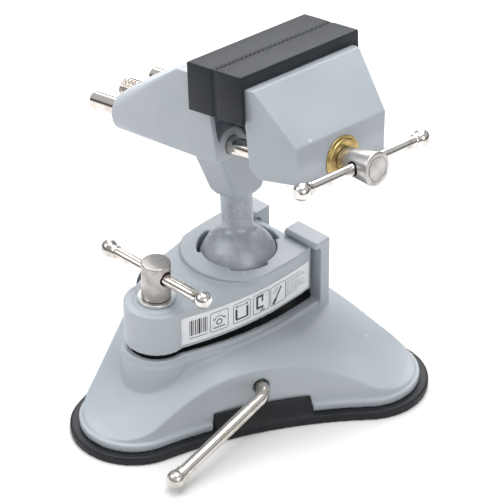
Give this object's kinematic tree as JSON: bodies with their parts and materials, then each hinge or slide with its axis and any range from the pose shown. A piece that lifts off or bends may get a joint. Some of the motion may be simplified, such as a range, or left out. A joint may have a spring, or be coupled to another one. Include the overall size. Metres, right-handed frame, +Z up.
{
  "type": "bench vise",
  "caption": "Small bench vise with padded jaws on guide rods, a clamped ball joint for tilt and swivel, and a three-legged suction base with a lever.",
  "frame": {"origin": "on the vertical axis through the ball's centre, in the plane of the bench under the rubber pad", "axes": "+Z up; +X the way the moving jaw opens, seen from above; -Y towards the clamp screw on the front leg"},
  "size_m": [0.1568, 0.1468, 0.1674],
  "materials": {
    "castings": "semi-gloss grey paint on die castings",
    "ball_metal": "rough speckled metallic grey",
    "base_rubber": "matt black",
    "jaw_rubber": "matt slate grey",
    "bright_steel": "nickel plated, fine turning marks",
    "rod_steel": "ground and plated",
    "lever_steel": "nickel plated",
    "clamp_steel": "turned, slightly warm",
    "inner_steel": "plain steel",
    "zinc": "zinc plated",
    "brass": "turned brass",
    "seat_plastic": "plain off-white nylon",
    "label": null
  },
  "bodies": {
    "base": {"base_casting": "castings", "suction_pad": "base_rubber"},
    "stud": {"pull_stud": "inner_steel"},
    "lever": {"vacuum_lever": "lever_steel", "lever_knob": "lever_steel", "cam": "inner_steel", "cam_pin": "inner_steel"},
    "washer": {"clamp_washer": "zinc"},
    "clamp": {"clamp_screw": "clamp_steel"},
    "clamp_handle": {"clamp_bar": "bright_steel", "clamp_bar_knobs": "bright_steel"},
    "plate": {"clamp_plate": "castings", "label": "label"},
    "seat": {"ball_seat": "seat_plastic"},
    "stem": {"ball_stem": "ball_metal"},
    "head": {"fixed_jaw": "castings", "rear_jaw_pad": "jaw_rubber"},
    "jaw": {"moving_jaw": "castings", "front_jaw_pad": "jaw_rubber", "guide_rods": "rod_steel", "brass_washer": "brass"},
    "screw": {"lead_screw": "rod_steel", "retaining_clip": "inner_steel"},
    "handle": {"jaw_bar": "bright_steel", "jaw_bar_knobs": "bright_steel"}
  },
  "joints": [
    {"name": "vacuum_lever", "type": "hinge", "parent": "base", "child": "lever", "pos_m": [0, -0.0055, 0.0205], "axis": [-0.8746, 0.4848, 0], "range_deg": [0, 180]},
    {"name": "stud_lift", "type": "slide", "parent": "base", "child": "stud", "axis": [0, 0, 1], "range_m": [0, 0.00361]},
    {"name": "clamp_lift", "type": "slide", "parent": "base", "child": "washer", "axis": [0, 0, -1], "range_m": [0, 0.00126]},
    {"name": "clamp_turn", "type": "hinge", "parent": "washer", "child": "clamp", "pos_m": [0, -0.0507, 0.06], "axis": [0, 0, -1], "range_deg": [0, 360]},
    {"name": "clamp_handle_slide", "type": "slide", "parent": "clamp", "child": "clamp_handle", "axis": [1, 0, 0], "range_m": [-0.016, 0.016]},
    {"name": "plate_pivot", "type": "hinge", "parent": "base", "child": "plate", "pos_m": [0, 0.0208, 0.0595], "axis": [1, 0, 0], "range_deg": [0, 1.15]},
    {"name": "swivel", "type": "hinge", "parent": "base", "child": "seat", "pos_m": [0, 0, 0.054], "axis": [0, 0, 1], "continuous": true},
    {"name": "tilt", "type": "hinge", "parent": "seat", "child": "stem", "pos_m": [0, 0, 0.054], "axis": [-0.5878, -0.809, 0], "range_deg": [-11, 27]},
    {"name": "head_turn", "type": "hinge", "parent": "stem", "child": "head", "pos_m": [0, 0, 0.054], "axis": [-0.1544, 0.1122, 0.9816], "continuous": true},
    {"name": "jaw_slide", "type": "slide", "parent": "head", "child": "jaw", "axis": [0.988, 0.0087, 0.1544], "range_m": [0, 0.06]},
    {"name": "screw_turn", "type": "hinge", "parent": "jaw", "child": "screw", "pos_m": [-0.00988, 0.00718, 0.11682], "axis": [0.988, 0.0087, 0.1544], "range_deg": [0, 10800.5]},
    {"name": "handle_slide", "type": "slide", "parent": "screw", "child": "handle", "axis": [0.0087, 0.9937, -0.1122], "range_m": [-0.024, 0.024]}
  ],
  "couplings": [
    {"joint": "stud_lift", "follows": "vacuum_lever", "m_per_rad": 0.0011459},
    {"joint": "clamp_lift", "follows": "clamp_turn", "m_per_rad": 0.00019894},
    {"joint": "plate_pivot", "follows": "clamp_turn", "ratio": 0.0031354},
    {"joint": "screw_turn", "follows": "jaw_slide", "rad_per_m": 3141.6}
  ]
}
